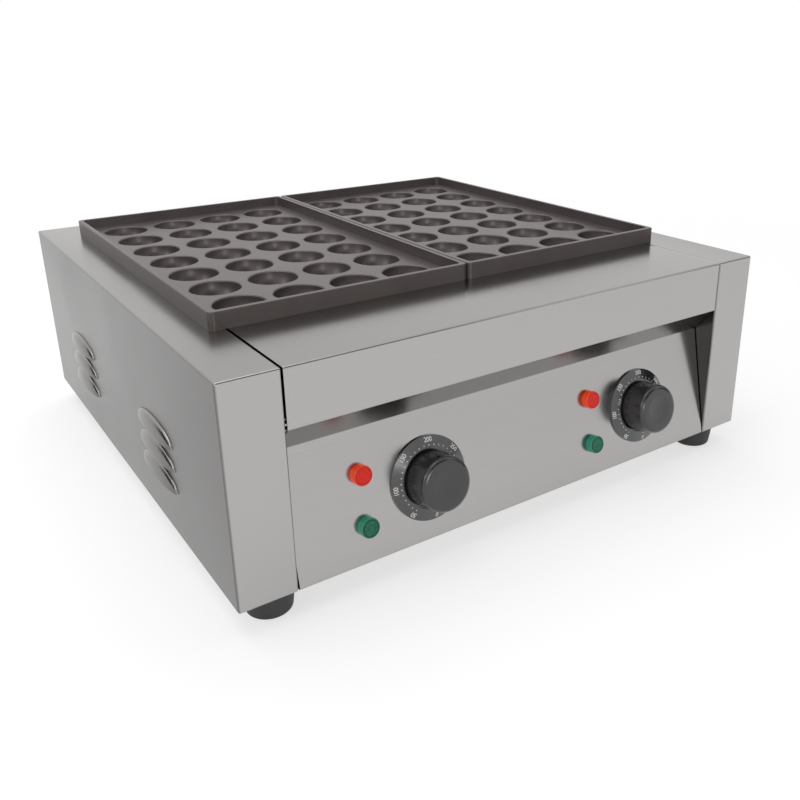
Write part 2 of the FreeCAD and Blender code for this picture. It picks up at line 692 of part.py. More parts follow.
def mould_plate(side, label):
    """A cast plate: a raised rim round a floor with rows of half-ball moulds."""
    rim = block(sided(side, "plate_gap/2", f"plate_gap/2 + {PLATE_WIDTH}"),
                (PLATE_FRONT, f"{PLATE_FRONT} + {PLATE_LENGTH}"), (TOP, f"{TOP} + rim_height"))
    corner_radius = size("rim_corner")
    rim = rounded(rim, corner_radius, lambda edge: edge.BoundBox.ZLength > 0.9 * edge.Length)
    top_level = sheet_value(f"{TOP} + rim_height")
    rim = rounded(rim, size("rim_edge"), lambda edge: abs(edge.BoundBox.ZMin - top_level) < 0.001)
    inside = (
        sided(side, "plate_gap/2 + rim_wall", f"plate_gap/2 + {PLATE_WIDTH} - rim_wall"),
        (f"{PLATE_FRONT} + rim_wall", f"{PLATE_FRONT} + {PLATE_LENGTH} - rim_wall"))
    above = block(*inside, (PLATE_FLOOR, f"{TOP} + 2*rim_height"))
    above = rounded(above, corner_radius, lambda edge: edge.BoundBox.ZLength > 0.9 * edge.Length)
    below = block(*inside, (f"{TOP} - rim_height", f"{PLATE_FLOOR} - floor_iron"))
    bosses = []
    hollows = []
    for column in range(int(size("mould_columns"))):
        for row in range(int(size("mould_rows"))):
            x = f"{side_centre(side)} + ({column} - (mould_columns - 1)/2)*mould_pitch"
            y = f"{PLATE_FRONT} + plate_margin + {row}*mould_pitch"
            bosses.append(half_ball("mould_radius + mould_wall", x, y))
            hollows.append(half_ball("mould_radius", x, y))
            hollows.append(mouth(x, y))
    return node(cut(joined(cut(rim, above, below), *bosses), *hollows), label)


def half_ball(radius, x, y):
    thing = doc.addObject("Part::Sphere", "Ball")
    thing.Angle2 = 0
    thing.setExpression("Radius", tied(radius))
    return put(thing, x, y, PLATE_FLOOR)


def mouth(x, y):
    """The bevel round a mould's mouth."""
    thing = doc.addObject("Part::Cone", "Mouth")
    thing.setExpression("Radius1", tied("mould_radius"))
    thing.setExpression("Radius2", tied("mould_radius + mouth_bevel"))
    thing.setExpression("Height", tied("mouth_bevel"))
    return put(thing, x, y, f"{PLATE_FLOOR} - mouth_bevel")


for side, word in ((-1, "left"), (1, "right")):
    heater_tray(side, f"{word}_heater_tray")
    heating_element(side, f"{word}_heating_element")
    element_glands(side, f"{word}_element_glands")
    element_rests(side, f"{word}_element_rests")
    sensor(side, f"{word}_sensor")
    mould_plate(side, f"{word}_mould_plate")


def dial_ring(side, label):
    """A moulded ring with a sloped face for the scale and a recess that the knob stands in."""
    section = turned([
        ("bush_radius + hole_gap", "0"),
        ("ring_radius", "0"),
        ("ring_radius", "ring_edge"),
        ("ring_inner + ring_land", "ring_rise"),
        ("ring_inner", "ring_rise"),
        ("ring_inner", "ring_floor"),
        ("bush_radius + hole_gap", "ring_floor"),
    ])
    screws = [rod("small_screw + hole_gap", "4*ring_floor", f"{way}*bracket_pitch/2", "0",
                  "-ring_floor") for way in (-1, 1)]
    return node(on_panel(cut(section, *screws), dial_x(side), "dial_rise"), label)


def knob(side, label):
    """A smooth hollow knob with a rounded shoulder, a dished face and a short pointer groove."""
    body = doc.addObject("Part::Cone", "Knob")
    body.setExpression("Radius1", tied("knob_radius"))
    body.setExpression("Radius2", tied("knob_radius - knob_taper"))
    body.setExpression("Height", tied("knob_face - knob_base"))
    put(body, z="knob_base")
    shoulder = is_ring(size("knob_radius") - size("knob_taper"), size("knob_face"))
    body = rounded(body, size("knob_round"), shoulder)
    dish = doc.addObject("Part::Sphere", "Dish")
    dish.setExpression("Radius", tied(DISH_BALL))
    put(dish, z=f"knob_face - dish_depth + {DISH_BALL}")
    hollow = cut(
        rod("knob_radius - knob_wall", "knob_face - knob_top", z="0"),
        rod("knob_hub", "knob_face", z="0"))
    bore = cut(
        rod("shaft_radius + fit_gap", "shaft_end + fit_gap", z="0"),
        block(("shaft_radius - shaft_flat + fit_gap", "2*shaft_radius"),
              (minus("2*shaft_radius"), "2*shaft_radius"),
              ("shaft_end - flat_length + fit_gap", "2*shaft_end")))
    whole = cut(body, dish, hollow, bore, pointer_groove())
    whole = group(put(whole, axis="Z", angle="-pointer_angle"))
    return node(on_panel(whole, dial_x(side), "dial_rise"), label)


DISH_BALL = "((dish_radius^2 + dish_depth^2)/(2*dish_depth))"


def pointer_groove():
    """A short groove of even depth that follows the shoulder up to the face."""
    shells = []
    for reach in ("knob_round + 1", "knob_round - mark_depth"):
        ring = doc.addObject("Part::Torus", "Groove")
        ring.Angle1 = 12
        ring.Angle2 = 88
        ring.setExpression("Angle3", tied("mark_angle"))
        ring.setExpression("Radius1", tied("knob_radius - knob_taper - knob_round"))
        ring.setExpression("Radius2", tied(reach))
        shells.append(put(ring, z="knob_face - knob_round", axis="Z", angle="90 - mark_angle/2"))
    return cut(*shells)


def shaft(side, label):
    """The thermostat's shaft, with a flat where the knob grips it."""
    whole = cut(
        rod("shaft_radius", f"shaft_end + shaft_depth + {BRACKET_BACK}", z=f"-({BRACKET_BACK} + shaft_depth)"),
        block(("shaft_radius - shaft_flat", "2*shaft_radius"),
              (minus("2*shaft_radius"), "2*shaft_radius"),
              ("shaft_end - flat_length", "2*shaft_end")))
    whole = group(put(whole, axis="Z", angle="-pointer_angle"))
    return node(on_panel(whole, dial_x(side), "dial_rise"), label)


BRACKET_BACK = "(steel + bracket_steel)"


def thermostat(side, label):
    """A control box on a bracket behind the panel, with a bush that comes through it."""
    bracket = block(
        ("-bracket_width/2", "bracket_width/2"), ("-bracket_height/2", "bracket_height/2"),
        (minus(BRACKET_BACK), "-steel"))
    case = block(
        ("-control_width/2", "control_width/2"), ("-control_height/2", "control_height/2"),
        (f"-({BRACKET_BACK} + control_depth)", minus(BRACKET_BACK)))
    bush = rod("bush_radius", "2*steel + ring_floor", z="-2*steel")
    bore = rod("shaft_radius + running_gap", f"{BRACKET_BACK} + 2*shaft_depth",
               z=f"-({BRACKET_BACK} + shaft_depth + 1)")
    screws = [rod("small_screw + hole_gap", f"2*{SCREW_DEPTH}", f"{way}*bracket_pitch/2", "0", minus(SCREW_DEPTH))
              for way in (-1, 1)]
    whole = on_panel(cut(joined(bracket, case, bush), bore, *screws), dial_x(side), "dial_rise")
    capillary = rod("capillary_radius + fit_gap", "4*capillary_depth", side_centre(side),
                    f"{FRONT} + capillary_setback", CAPILLARY_END)
    return node(cut(whole, capillary), label)


def thermostat_screws(side, label):
    """Two screws through the ring's floor and the panel into the thermostat's bracket."""
    screws = []
    for way in (-1, 1):
        x = f"{way}*bracket_pitch/2"
        head = rod("small_head", "small_head_height", x, "0", "ring_floor")
        shank = rod("small_screw", f"{SCREW_DEPTH} + ring_floor", x, "0", minus(SCREW_DEPTH))
        screws.append(joined(head, shank))
    return node(on_panel(group(*screws), dial_x(side), "dial_rise"), label)


SCREW_DEPTH = f"({BRACKET_BACK} + 5)"


def lamp_lens(side, rise, label):
    """A clear coloured lens: a thick disc in front of the panel on a hollow stem."""
    lens = turned([
        ("lens_bore", "-stem_length"),
        ("lens_stem", "-stem_length"),
        ("lens_stem", "0"),
        ("lens_radius", "0"),
        ("lens_radius", "lens_height"),
        ("0", "lens_height"),
        ("0", "lens_height - lens_face"),
        ("lens_bore", "lens_height - lens_face"),
    ])
    lens = rounded(lens, size("lens_round"), is_ring(size("lens_radius"), size("lens_height")))
    return node(on_panel(lens, lamp_x(side), rise), label)


def lamp_holder(side, rise, label):
    """The holder pushed onto the lens from behind, with two push-on terminals."""
    sleeve = cut(
        rod("holder_radius", "holder_length", z="-(steel + holder_length)"),
        rod("lens_stem + fit_gap", "stem_length", z="-(stem_length + fit_gap)"))
    tabs = [block(
        (f"{way}*tab_spread/2 - tab_steel/2", f"{way}*tab_spread/2 + tab_steel/2"),
        ("-tab_width/2", "tab_width/2"),
        ("-(steel + holder_length + tab_length)", "-(steel + holder_length)")) for way in (-1, 1)]
    return node(on_panel(joined(sleeve, *tabs), lamp_x(side), rise), label)


for side, word in ((-1, "left"), (1, "right")):
    dial_ring(side, f"{word}_dial_ring")
    knob(side, f"{word}_knob")
    shaft(side, f"{word}_thermostat_shaft")
    thermostat(side, f"{word}_thermostat")
    thermostat_screws(side, f"{word}_thermostat_screws")
    for level, rise in LAMP_RISES:
        lamp_lens(side, rise, f"{word}_{level}_lamp_lens")
        lamp_holder(side, rise, f"{word}_{level}_lamp_holder")


def foot(x, y, label):
    """A tapered rubber foot with a screw well in its underside."""
    rubber = turned([
        ("foot_screw + fit_gap", "foot_height - foot_web"),
        ("foot_well", "foot_height - foot_web"),
        ("foot_well", "0"),
        ("foot_bottom", "0"),
        ("foot_top", "foot_height"),
        ("foot_screw + fit_gap", "foot_height"),
    ])
    rubber = rounded(rubber, size("foot_round"), is_ring(size("foot_bottom"), 0))
    return node(put(rubber, x, y), label)


def foot_screw(x, y):
    """A screw from the foot's well through the end housing's floor into a nut."""
    head = rod("foot_head", "foot_head_height", x, y, "foot_height - foot_web - foot_head_height")
    shank = rod("foot_screw", "foot_web + 2*steel + foot_nut_height", x, y, "foot_height - foot_web")
    nut = hex_bar("foot_nut", "foot_nut_height", x, y, "foot_height + steel")
    return joined(head, shank, nut)


foot_screws = []
for side, word in ((-1, "left"), (1, "right")):
    for y, end in zip(FOOT_ROWS, ("front", "back")):
        x = f"{side}*({SIDE} - foot_inset)"
        foot(x, y, f"{end}_{word}_foot")
        foot_screws.append(foot_screw(x, y))
node(group(*foot_screws), "foot_screws")

# Base screws: from below through the flanges and the base pan
base_screws = []
for x, y in base_screw_places():
    head = rod("base_head", "base_head_height", x, y, f"{BASE} - base_head_height")
    shank = rod("base_screw", "base_screw_length", x, y, BASE)
    base_screws.append(joined(head, shank))
node(group(*base_screws), "base_screws")

# Cable gland: hexagon and dome nut outside the rear cover, a threaded stem through it
gland = joined(
    hex_bar("gland_hex", "gland_flange", "gland_offset", f"{BACK} + gland_flange", GLAND_LEVEL, "X", "90"),
    rod_back("gland_dome", "gland_offset", (f"{BACK} + gland_flange", f"{BACK} + gland_reach*2/3"),
             GLAND_LEVEL),
    rod_back("gland_stem", "gland_offset", (f"{BACK} - steel - gland_tail", BACK), GLAND_LEVEL))
dome = doc.addObject("Part::Cone", "Dome")
dome.setExpression("Radius1", tied("gland_mouth"))
dome.setExpression("Radius2", tied("gland_dome"))
dome.setExpression("Height", tied("gland_reach/3"))
put(dome, "gland_offset", f"{BACK} + gland_reach", GLAND_LEVEL, "X", "90")
GLAND_SPAN = (f"{BACK} - 2*gland_tail", f"{BACK} + 2*gland_reach")
gland_bore = rod_back("gland_bore", "gland_offset", GLAND_SPAN, GLAND_LEVEL)
node(cut(joined(gland, dome), gland_bore), "cable_gland")
locknut = hex_bar("gland_hex", "locknut_height", "gland_offset", f"{BACK} - steel", GLAND_LEVEL, "X", "90")
nut_bore = rod_back("gland_stem + fit_gap", "gland_offset", GLAND_SPAN, GLAND_LEVEL)
node(cut(locknut, nut_bore), "gland_locknut")

# Terminal block: an insulated bar on the base pan with a screw well for each way
BLOCK_BACK = f"({BACK} - block_setback)"
bar = block(
    ("block_offset - block_width/2", "block_offset + block_width/2"),
    (f"{BLOCK_BACK} - block_depth/2", f"{BLOCK_BACK} + block_depth/2"),
    (PAN_TOP, f"{PAN_TOP} + block_height"))
wells = [rod(
    "way_radius", "2*way_depth",
    f"block_offset + ({n} - (block_ways - 1)/2)*block_width/block_ways", BLOCK_BACK,
    f"{PAN_TOP} + block_height - way_depth") for n in range(int(size("block_ways")))]
node(cut(bar, *wells), "terminal_block")

# Earth stud: a bolt up through the base pan with its nut
EARTH = ("earth_offset", f"{BACK} - earth_setback")
earth = joined(
    rod("earth_radius", "earth_height + steel", *EARTH, f"{BASE} + steel"),
    hex_bar("earth_nut", "earth_nut_height", *EARTH, PAN_TOP))
node(earth, "earth_stud")

doc.recompute()
for thing in doc.Objects:
    if "Invalid" in thing.State or "Error" in thing.State:
        raise RuntimeError(f"{thing.Name} ({thing.Label}) failed: {thing.State}")
for thing in nodes:
    if thing.Shape.isNull() or not thing.Shape.isValid():
        raise RuntimeError(f"{thing.Label} has no valid shape")
os.makedirs("parts", exist_ok=True)
for thing in nodes:
    thing.Shape.exportStep(f"parts/{thing.Label}.step")
print(len(nodes), "pieces written")
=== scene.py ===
import json
from math import atan, cos, hypot, radians, sin, tan

import bpy
import bmesh
from mathutils import Matrix, Vector


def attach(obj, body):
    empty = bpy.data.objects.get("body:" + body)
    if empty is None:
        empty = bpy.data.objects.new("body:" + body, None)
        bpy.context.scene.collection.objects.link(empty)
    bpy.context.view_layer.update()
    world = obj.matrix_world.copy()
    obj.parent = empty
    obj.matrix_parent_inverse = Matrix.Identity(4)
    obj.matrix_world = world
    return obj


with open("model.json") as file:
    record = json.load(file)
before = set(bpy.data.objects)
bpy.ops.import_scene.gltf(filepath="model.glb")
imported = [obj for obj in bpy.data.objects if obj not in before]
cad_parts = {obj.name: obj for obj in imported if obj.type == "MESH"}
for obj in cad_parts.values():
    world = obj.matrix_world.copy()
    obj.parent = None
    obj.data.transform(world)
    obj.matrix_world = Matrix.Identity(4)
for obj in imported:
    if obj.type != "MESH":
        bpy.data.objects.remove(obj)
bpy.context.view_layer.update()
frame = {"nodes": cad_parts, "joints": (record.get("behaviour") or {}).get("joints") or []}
nodes = frame["nodes"]


# The view
# The real griddle was photographed from its front left corner, a little above the plates,
# with a lens of medium length.

IMAGE_WIDTH = 800.0
SENSOR_MM = 36.0
FOCAL_PX = 861.8
PRINCIPAL_PX = (453.3, 346.1)
EYE_PLACE = (-0.4024, -0.7068, 0.3817)
TURN, DROP, ROLL = radians(35.15), radians(20.61), radians(-0.295)

ahead = Vector((sin(TURN) * cos(DROP), cos(TURN) * cos(DROP), -sin(DROP)))
level = ahead.cross(Vector((0, 0, 1))).normalized()
above = level.cross(ahead)
right = cos(ROLL) * level + sin(ROLL) * above
up = cos(ROLL) * above - sin(ROLL) * level

eye = bpy.data.cameras.new("eye")
eye.sensor_width = SENSOR_MM
eye.lens = FOCAL_PX * SENSOR_MM / IMAGE_WIDTH
eye.shift_x = (IMAGE_WIDTH / 2 - PRINCIPAL_PX[0]) / IMAGE_WIDTH
eye.shift_y = (PRINCIPAL_PX[1] - IMAGE_WIDTH / 2) / IMAGE_WIDTH
camera = bpy.data.objects.new("camera", eye)
bpy.context.scene.collection.objects.link(camera)
camera.matrix_world = Matrix.Translation(EYE_PLACE) @ Matrix(
    (right, up, -ahead)).transposed().to_4x4()
bpy.context.scene.camera = camera


# The studio
# A white table that passes into a plain white backdrop a little way off, lit by a large soft box
# above and two small ones at the left and in front. Three dark cards stand out of the picture for
# the metal to mirror. The table shows white to the eye and to metal, and keeps the soft shadow.

def linear(hex_colour):
    """An sRGB hex colour as the linear colour that a shader socket takes."""
    parts = [int(hex_colour[n:n + 2], 16) / 255 for n in (1, 3, 5)]
    return [c / 12.92 if c <= 0.04045 else ((c + 0.055) / 1.055) ** 2.4 for c in parts] + [1.0]


def add(material, kind, settings=None, **links):
    """Add a node to a material, set its properties and sockets, and link what is linked."""
    tree = material.node_tree
    made = tree.nodes.new(kind)
    for name, value in (settings or {}).items():
        if hasattr(made, name) and name not in made.inputs:
            setattr(made, name, value)
        else:
            made.inputs[name].default_value = value
    for name, output in links.items():
        socket = made.inputs[int(name[1:])] if name[1:].isdigit() else made.inputs[name.replace("_", " ")]
        tree.links.new(output, socket)
    return made


def blank(name):
    """A material with no nodes yet."""
    made = bpy.data.materials.new(name)
    made.use_nodes = True
    made.node_tree.nodes.clear()
    return made


def mixed(material, share, first, second):
    """The colour between two, each a colour or a socket, at a share that a socket gives."""
    blend = add(material, "ShaderNodeMix", {"data_type": "RGBA"})
    material.node_tree.links.new(share, blend.inputs[0])
    for number, colour in ((6, first), (7, second)):
        if isinstance(colour, list):
            blend.inputs[number].default_value = colour
        else:
            material.node_tree.links.new(colour, blend.inputs[number])
    return blend.outputs[2]


TABLE = "#c4c4c4"
TABLE_EDGE_M = (0.7, 1.3)
TABLE_SIZE_M = 12
TABLE_GLOW = 0.62
SKY_FILL = 0.55
world = bpy.data.worlds.new("studio")
bpy.context.scene.world = world
world.use_nodes = True
world.node_tree.nodes.clear()


def looked_at(material):
    """One for a ray that draws what is seen, in a mirror image or through a lens too, else zero."""
    path = add(material, "ShaderNodeLightPath")
    first = add(material, "ShaderNodeMath", {"operation": "MAXIMUM"},
                _0=path.outputs["Is Camera Ray"], _1=path.outputs["Is Glossy Ray"])
    return add(material, "ShaderNodeMath", {"operation": "MAXIMUM"},
               _0=first.outputs[0], _1=path.outputs["Is Transmission Ray"])


direct = looked_at(world)
fill = add(world, "ShaderNodeBackground", {"Color": (1, 1, 1, 1), "Strength": SKY_FILL})
white = add(world, "ShaderNodeBackground", {"Color": (1, 1, 1, 1), "Strength": 1.0})
choice = add(world, "ShaderNodeMixShader", None, Fac=direct.outputs[0], _1=fill.outputs[0],
             _2=white.outputs[0])
add(world, "ShaderNodeOutputWorld", None, Surface=choice.outputs[0])

table_paper = blank("white table paper")
paper = add(table_paper, "ShaderNodeBsdfDiffuse", {"Color": linear(TABLE)})
glow = add(table_paper, "ShaderNodeEmission", {"Color": (1, 1, 1, 1), "Strength": TABLE_GLOW})
lit = add(table_paper, "ShaderNodeAddShader", None, _0=paper.outputs[0], _1=glow.outputs[0])
backdrop = add(table_paper, "ShaderNodeEmission", {"Color": (1, 1, 1, 1), "Strength": 1.0})
place = add(table_paper, "ShaderNodeTexCoord")
reach = add(table_paper, "ShaderNodeVectorMath", {"operation": "LENGTH"}, _0=place.outputs["Object"])
far = add(table_paper, "ShaderNodeMapRange", {"From Min": TABLE_EDGE_M[0], "From Max": TABLE_EDGE_M[1]},
          Value=reach.outputs["Value"])
swept = add(table_paper, "ShaderNodeMixShader", None, Fac=far.outputs[0], _1=lit.outputs[0],
            _2=backdrop.outputs[0])
shown = add(table_paper, "ShaderNodeMixShader", None, Fac=looked_at(table_paper).outputs[0],
            _1=paper.outputs[0], _2=swept.outputs[0])
add(table_paper, "ShaderNodeOutputMaterial", None, Surface=shown.outputs[0])

bpy.ops.mesh.primitive_plane_add(size=TABLE_SIZE_M)
table = bpy.context.object
table.name = "table"
table.data.materials.append(table_paper)


def soft_box(name, place, aim, width, height, watts):
    """A rectangular soft box that looks at a point."""
    light = bpy.data.lights.new(name, "AREA")
    light.shape = "RECTANGLE"
    light.size, light.size_y = width, height
    light.energy = watts
    holder = bpy.data.objects.new(name, light)
    bpy.context.scene.collection.objects.link(holder)
    holder.location = place
    holder.rotation_euler = (Vector(aim) - Vector(place)).to_track_quat("-Z", "Y").to_euler()
    return holder


def flag(name, place, aim, width, height):
    """A dark card out of the picture, which gives the metal something dark to mirror."""
    bpy.ops.mesh.primitive_plane_add(size=1)
    card = bpy.context.object
    card.name = name
    card.data.materials.append(flag_cloth)
    card.scale = (width, height, 1)
    card.location = place
    card.rotation_euler = (Vector(aim) - Vector(place)).to_track_quat("-Z", "Y").to_euler()


flag_cloth = blank("dark grey flag cloth")
weave = add(flag_cloth, "ShaderNodeTexCoord")
threads = add(flag_cloth, "ShaderNodeTexNoise", {"Scale": 40.0}, Vector=weave.outputs["Object"])
cloth = add(flag_cloth, "ShaderNodeBsdfDiffuse", None,
            Color=mixed(flag_cloth, threads.outputs["Fac"], linear("#2c2c2c"), linear("#3c3c3c")))
add(flag_cloth, "ShaderNodeOutputMaterial", None, Surface=cloth.outputs[0])

soft_box("top box", (-0.2, 0.3, 1.7), (0, 0, 0.1), 1.6, 1.2, 9)
soft_box("left box", (-1.5, -0.3, 1.0), (0, -0.2, 0.1), 0.35, 0.35, 2)
soft_box("front box", (-0.3, -1.9, 0.55), (0, -0.25, 0.08), 0.5, 0.3, 4)
flag("upper flag", (0.3, -1.9, 1.9), (0, -0.2, 0.1), 2.6, 1.4)
flag("left flag", (-2.0, 1.0, 0.55), (-0.2, 0.1, 0.1), 1.6, 1.0)
flag("right flag", (2.3, -1.2, 0.6), (0.2, -0.2, 0.1), 1.2, 1.2)


# The steel case
# Satin stainless sheet, 1.2 mm thick, folded into two end housings, a front cover, a control
# panel and a rear cover. The mill's brushing lies along each sheet and spreads highlights across it.

# The steel tones are painted light and shade: a light one for faces that look forwards or back, a dark one
# for faces that look sideways, and one between for faces that look up or down.
STEEL_TONES_SHADED_BY_FACING = ("#b1afae", "#62605f", "#979593")
BRUSH_MM = 0.5
BRUSH_LENGTH_MM = 60.0


def brushed_steel(name, tones, along, roughness):
    """Satin metal brushed along one direction (0 is X, 1 is Y, 2 is Z).

    The three tones are for faces that look forwards or back, sideways, and up or down, chosen
    for this studio's light: painted light and shade, lightest forwards and darkest sideways.
    """
    steel = blank(name)
    place = add(steel, "ShaderNodeTexCoord")
    # Painted shade by the way a face looks: the face's normal picks its tone.
    painted_shade_by_facing = add(steel, "ShaderNodeVectorMath", {"operation": "ABSOLUTE"}, _0=place.outputs["Normal"])
    parts = add(steel, "ShaderNodeSeparateXYZ", None, _0=painted_shade_by_facing.outputs[0])
    sideways = mixed(steel, parts.outputs["X"], linear(tones[0]), linear(tones[1]))
    base = mixed(steel, parts.outputs["Z"], sideways, linear(tones[2]))
    fine = [1000 / BRUSH_MM / 10] * 3
    fine[along] = 1000 / BRUSH_LENGTH_MM / 10
    stretched = add(steel, "ShaderNodeMapping", {"Scale": fine}, Vector=place.outputs["Object"])
    brush = add(steel, "ShaderNodeTexNoise", {"Scale": 10.0, "Detail": 3.0, "Roughness": 0.6},
                Vector=stretched.outputs[0])
    smear = add(steel, "ShaderNodeTexNoise", {"Scale": 7.0, "Detail": 2.0}, Vector=place.outputs["Object"])
    tone = add(steel, "ShaderNodeMapRange", {"To Min": 0.93, "To Max": 1.05}, Value=brush.outputs["Fac"])
    tint = add(steel, "ShaderNodeMix", {"data_type": "RGBA", "blend_type": "MULTIPLY"})
    tint.inputs[0].default_value = 1.0
    steel.node_tree.links.new(base, tint.inputs[6])
    steel.node_tree.links.new(tone.outputs[0], tint.inputs[7])
    gloss = add(steel, "ShaderNodeMapRange", {"To Min": roughness - 0.05, "To Max": roughness + 0.07},
                Value=smear.outputs["Fac"])
    relief = add(steel, "ShaderNodeBump", {"Strength": 0.03, "Distance": 0.0002},
                 Height=brush.outputs["Fac"])
    shell = add(steel, "ShaderNodeBsdfPrincipled", {"Metallic": 1.0, "Anisotropic": 0.35},
                Base_Color=tint.outputs[2], Roughness=gloss.outputs[0], Normal=relief.outputs[0])
    add(steel, "ShaderNodeOutputMaterial", None, Surface=shell.outputs[0])
    return steel


def finish(node, material):
    """Give a carried-over piece its material."""
    holder = nodes[node]
    holder.data.materials.clear()
    holder.data.materials.append(material)


side_steel = brushed_steel("satin stainless steel, brushed front to back", STEEL_TONES_SHADED_BY_FACING, 1, 0.22)
front_steel = brushed_steel("satin stainless steel, brushed side to side", STEEL_TONES_SHADED_BY_FACING, 0, 0.18)
for node in ("left_end_housing", "right_end_housing"):
    finish(node, side_steel)
for node in ("front_cover", "control_panel", "rear_cover", "base_pan", "centre_rail"):
    finish(node, front_steel)


# The heater trays and elements
# Plain rolled sheet pans hold the tubular elements under the plates. Heat has left the tubes a
# dull brown grey, and the trays a little darker than the case.

tray_steel = brushed_steel("rolled steel sheet", ["#8d8b88"] * 3, 1, 0.38)
tube_steel = brushed_steel("heat-tinted stainless tube", ["#6f6762"] * 3, 1, 0.42)
zinc = brushed_steel("zinc-plated steel", ["#b9b8b2"] * 3, 2, 0.34)
brass = brushed_steel("turned brass", ["#b79a5c"] * 3, 2, 0.30)
for side in ("left", "right"):
    finish(f"{side}_heater_tray", tray_steel)
    finish(f"{side}_element_rests", tray_steel)
    finish(f"{side}_heating_element", tube_steel)
    finish(f"{side}_sensor", tube_steel)
    finish(f"{side}_element_glands", brass)
    finish(f"{side}_thermostat_screws", zinc)
    finish(f"{side}_thermostat_shaft", zinc)
for node in ("foot_screws", "base_screws", "earth_stud"):
    finish(node, zinc)


# The mould plates
# Grey iron cast in sand, then coated: a dark, slightly brown satin skin with a fine sandy grain
# and slow clouds of tone.

SAND_MM = 0.6
cast_iron = blank("coated cast iron")
place = add(cast_iron, "ShaderNodeTexCoord")
sand = add(cast_iron, "ShaderNodeTexNoise", {"Scale": 1000 / SAND_MM / 2, "Detail": 3.0},
           Vector=place.outputs["Object"])
cloud = add(cast_iron, "ShaderNodeTexNoise", {"Scale": 22.0, "Detail": 4.0, "Roughness": 0.6},
            Vector=place.outputs["Object"])
skin = mixed(cast_iron, cloud.outputs["Fac"], linear("#544d4b"), linear("#6a6361"))
satin = add(cast_iron, "ShaderNodeMapRange", {"To Min": 0.3, "To Max": 0.44}, Value=cloud.outputs["Fac"])
grain = add(cast_iron, "ShaderNodeBump", {"Strength": 0.12, "Distance": 0.0003}, Height=sand.outputs["Fac"])
shell = add(cast_iron, "ShaderNodeBsdfPrincipled", {"Metallic": 0.35, "IOR": 1.5},
            Base_Color=skin, Roughness=satin.outputs[0], Normal=grain.outputs[0])
add(cast_iron, "ShaderNodeOutputMaterial", None, Surface=shell.outputs[0])
for side in ("left", "right"):
    finish(f"{side}_mould_plate", cast_iron)


# The knobs and dial rings
# Both are compression-moulded black phenolic (bakelite): dense, dark and satin, with a soft
# broad highlight. The ring is polished brighter than the knob.

def phenolic(name, colour, roughness, coat):
    """Black moulded phenolic with the faint flow marks of the mould."""
    plastic = blank(name)
    place = add(plastic, "ShaderNodeTexCoord")
    flow = add(plastic, "ShaderNodeTexNoise", {"Scale": 90.0, "Detail": 4.0}, Vector=place.outputs["Object"])
    pores = add(plastic, "ShaderNodeTexNoise", {"Scale": 1400.0, "Detail": 2.0},
                Vector=place.outputs["Object"])
    gloss = add(plastic, "ShaderNodeMapRange", {"To Min": roughness - 0.04, "To Max": roughness + 0.06},
                Value=flow.outputs["Fac"])
    relief = add(plastic, "ShaderNodeBump", {"Strength": 0.05, "Distance": 0.0001},
                 Height=pores.outputs["Fac"])
    shell = add(plastic, "ShaderNodeBsdfPrincipled",
                {"Base Color": linear(colour), "IOR": 1.58, "Coat Weight": coat, "Coat Roughness": 0.15},
                Roughness=gloss.outputs[0], Normal=relief.outputs[0])
    add(plastic, "ShaderNodeOutputMaterial", None, Surface=shell.outputs[0])
    return plastic


knob_black = phenolic("satin black phenolic", "#2c2c2d", 0.24, 0.3)
ring_black = phenolic("polished black phenolic", "#232324", 0.2, 1.0)
inner_black = phenolic("dull black phenolic", "#242220", 0.5, 0.0)
for side in ("left", "right"):
    finish(f"{side}_knob", knob_black)
    finish(f"{side}_dial_ring", ring_black)
    finish(f"{side}_thermostat", inner_black)
    finish(f"{side}_upper_lamp_holder", inner_black)
    finish(f"{side}_lower_lamp_holder", inner_black)
finish("cable_gland", inner_black)
finish("gland_locknut", inner_black)


# The scales
# White ink printed on the sloped face of each ring: a dot for every ten degrees and a number
# for every fifty, read from outside. They are thin raised pieces that follow the slope.

white_ink = blank("white printing ink")
place = add(white_ink, "ShaderNodeTexCoord")
wear = add(white_ink, "ShaderNodeTexNoise", {"Scale": 900.0, "Detail": 2.0}, Vector=place.outputs["Object"])
ink = mixed(white_ink, wear.outputs["Fac"], linear("#e4e4e4"), linear("#fbfbfa"))
shell = add(white_ink, "ShaderNodeBsdfPrincipled", {"Roughness": 0.45}, Base_Color=ink)
add(white_ink, "ShaderNodeOutputMaterial", None, Surface=shell.outputs[0])

turn_joints = {joint["name"]: joint for joint in frame["joints"]}
RING_RADIUS, RING_EDGE = 0.0323, 0.0016
RING_INNER, RING_RISE = 0.0237, 0.004
DOT_RADIUS, NUMBER_RADIUS = 0.0253, 0.0292
DOT_SIZE, NUMBER_SIZE = 0.00055, 0.0050
DOT_SIDES = 12
INK = 0.00006
LETTER_SPREAD = 0.00012
MARKS = 26
MARKS_TO_A_NUMBER = 5
FIRST_DEGREES, DEGREES_STEP = 50, 10
STEP = 9.83
FIRST_MARK = -142.6
OFF_MARK = -184
SLOPE = atan((RING_RISE - RING_EDGE) / (RING_RADIUS - RING_INNER))


def dial_frame(side):
    """The panel's own directions at a dial: X right, Y up the panel, Z out of it."""
    joint = turn_joints[f"{side}_knob_turn"]
    out = -Vector(joint["axis"]).normalized()
    across = Vector((1, 0, 0))
    made = Matrix((across, out.cross(across), out)).transposed().to_4x4()
    made.translation = joint["pos_m"]
    return made


def on_slope(side, angle, radius):
    """A place on the ring's sloped face, at an angle clockwise from the top."""
    height = RING_RISE - (radius - RING_INNER) * tan(SLOPE)
    return (dial_frame(side) @ Matrix.Rotation(radians(-angle), 4, "Z")
            @ Matrix.Translation((0, radius, height)) @ Matrix.Rotation(-SLOPE, 4, "X"))


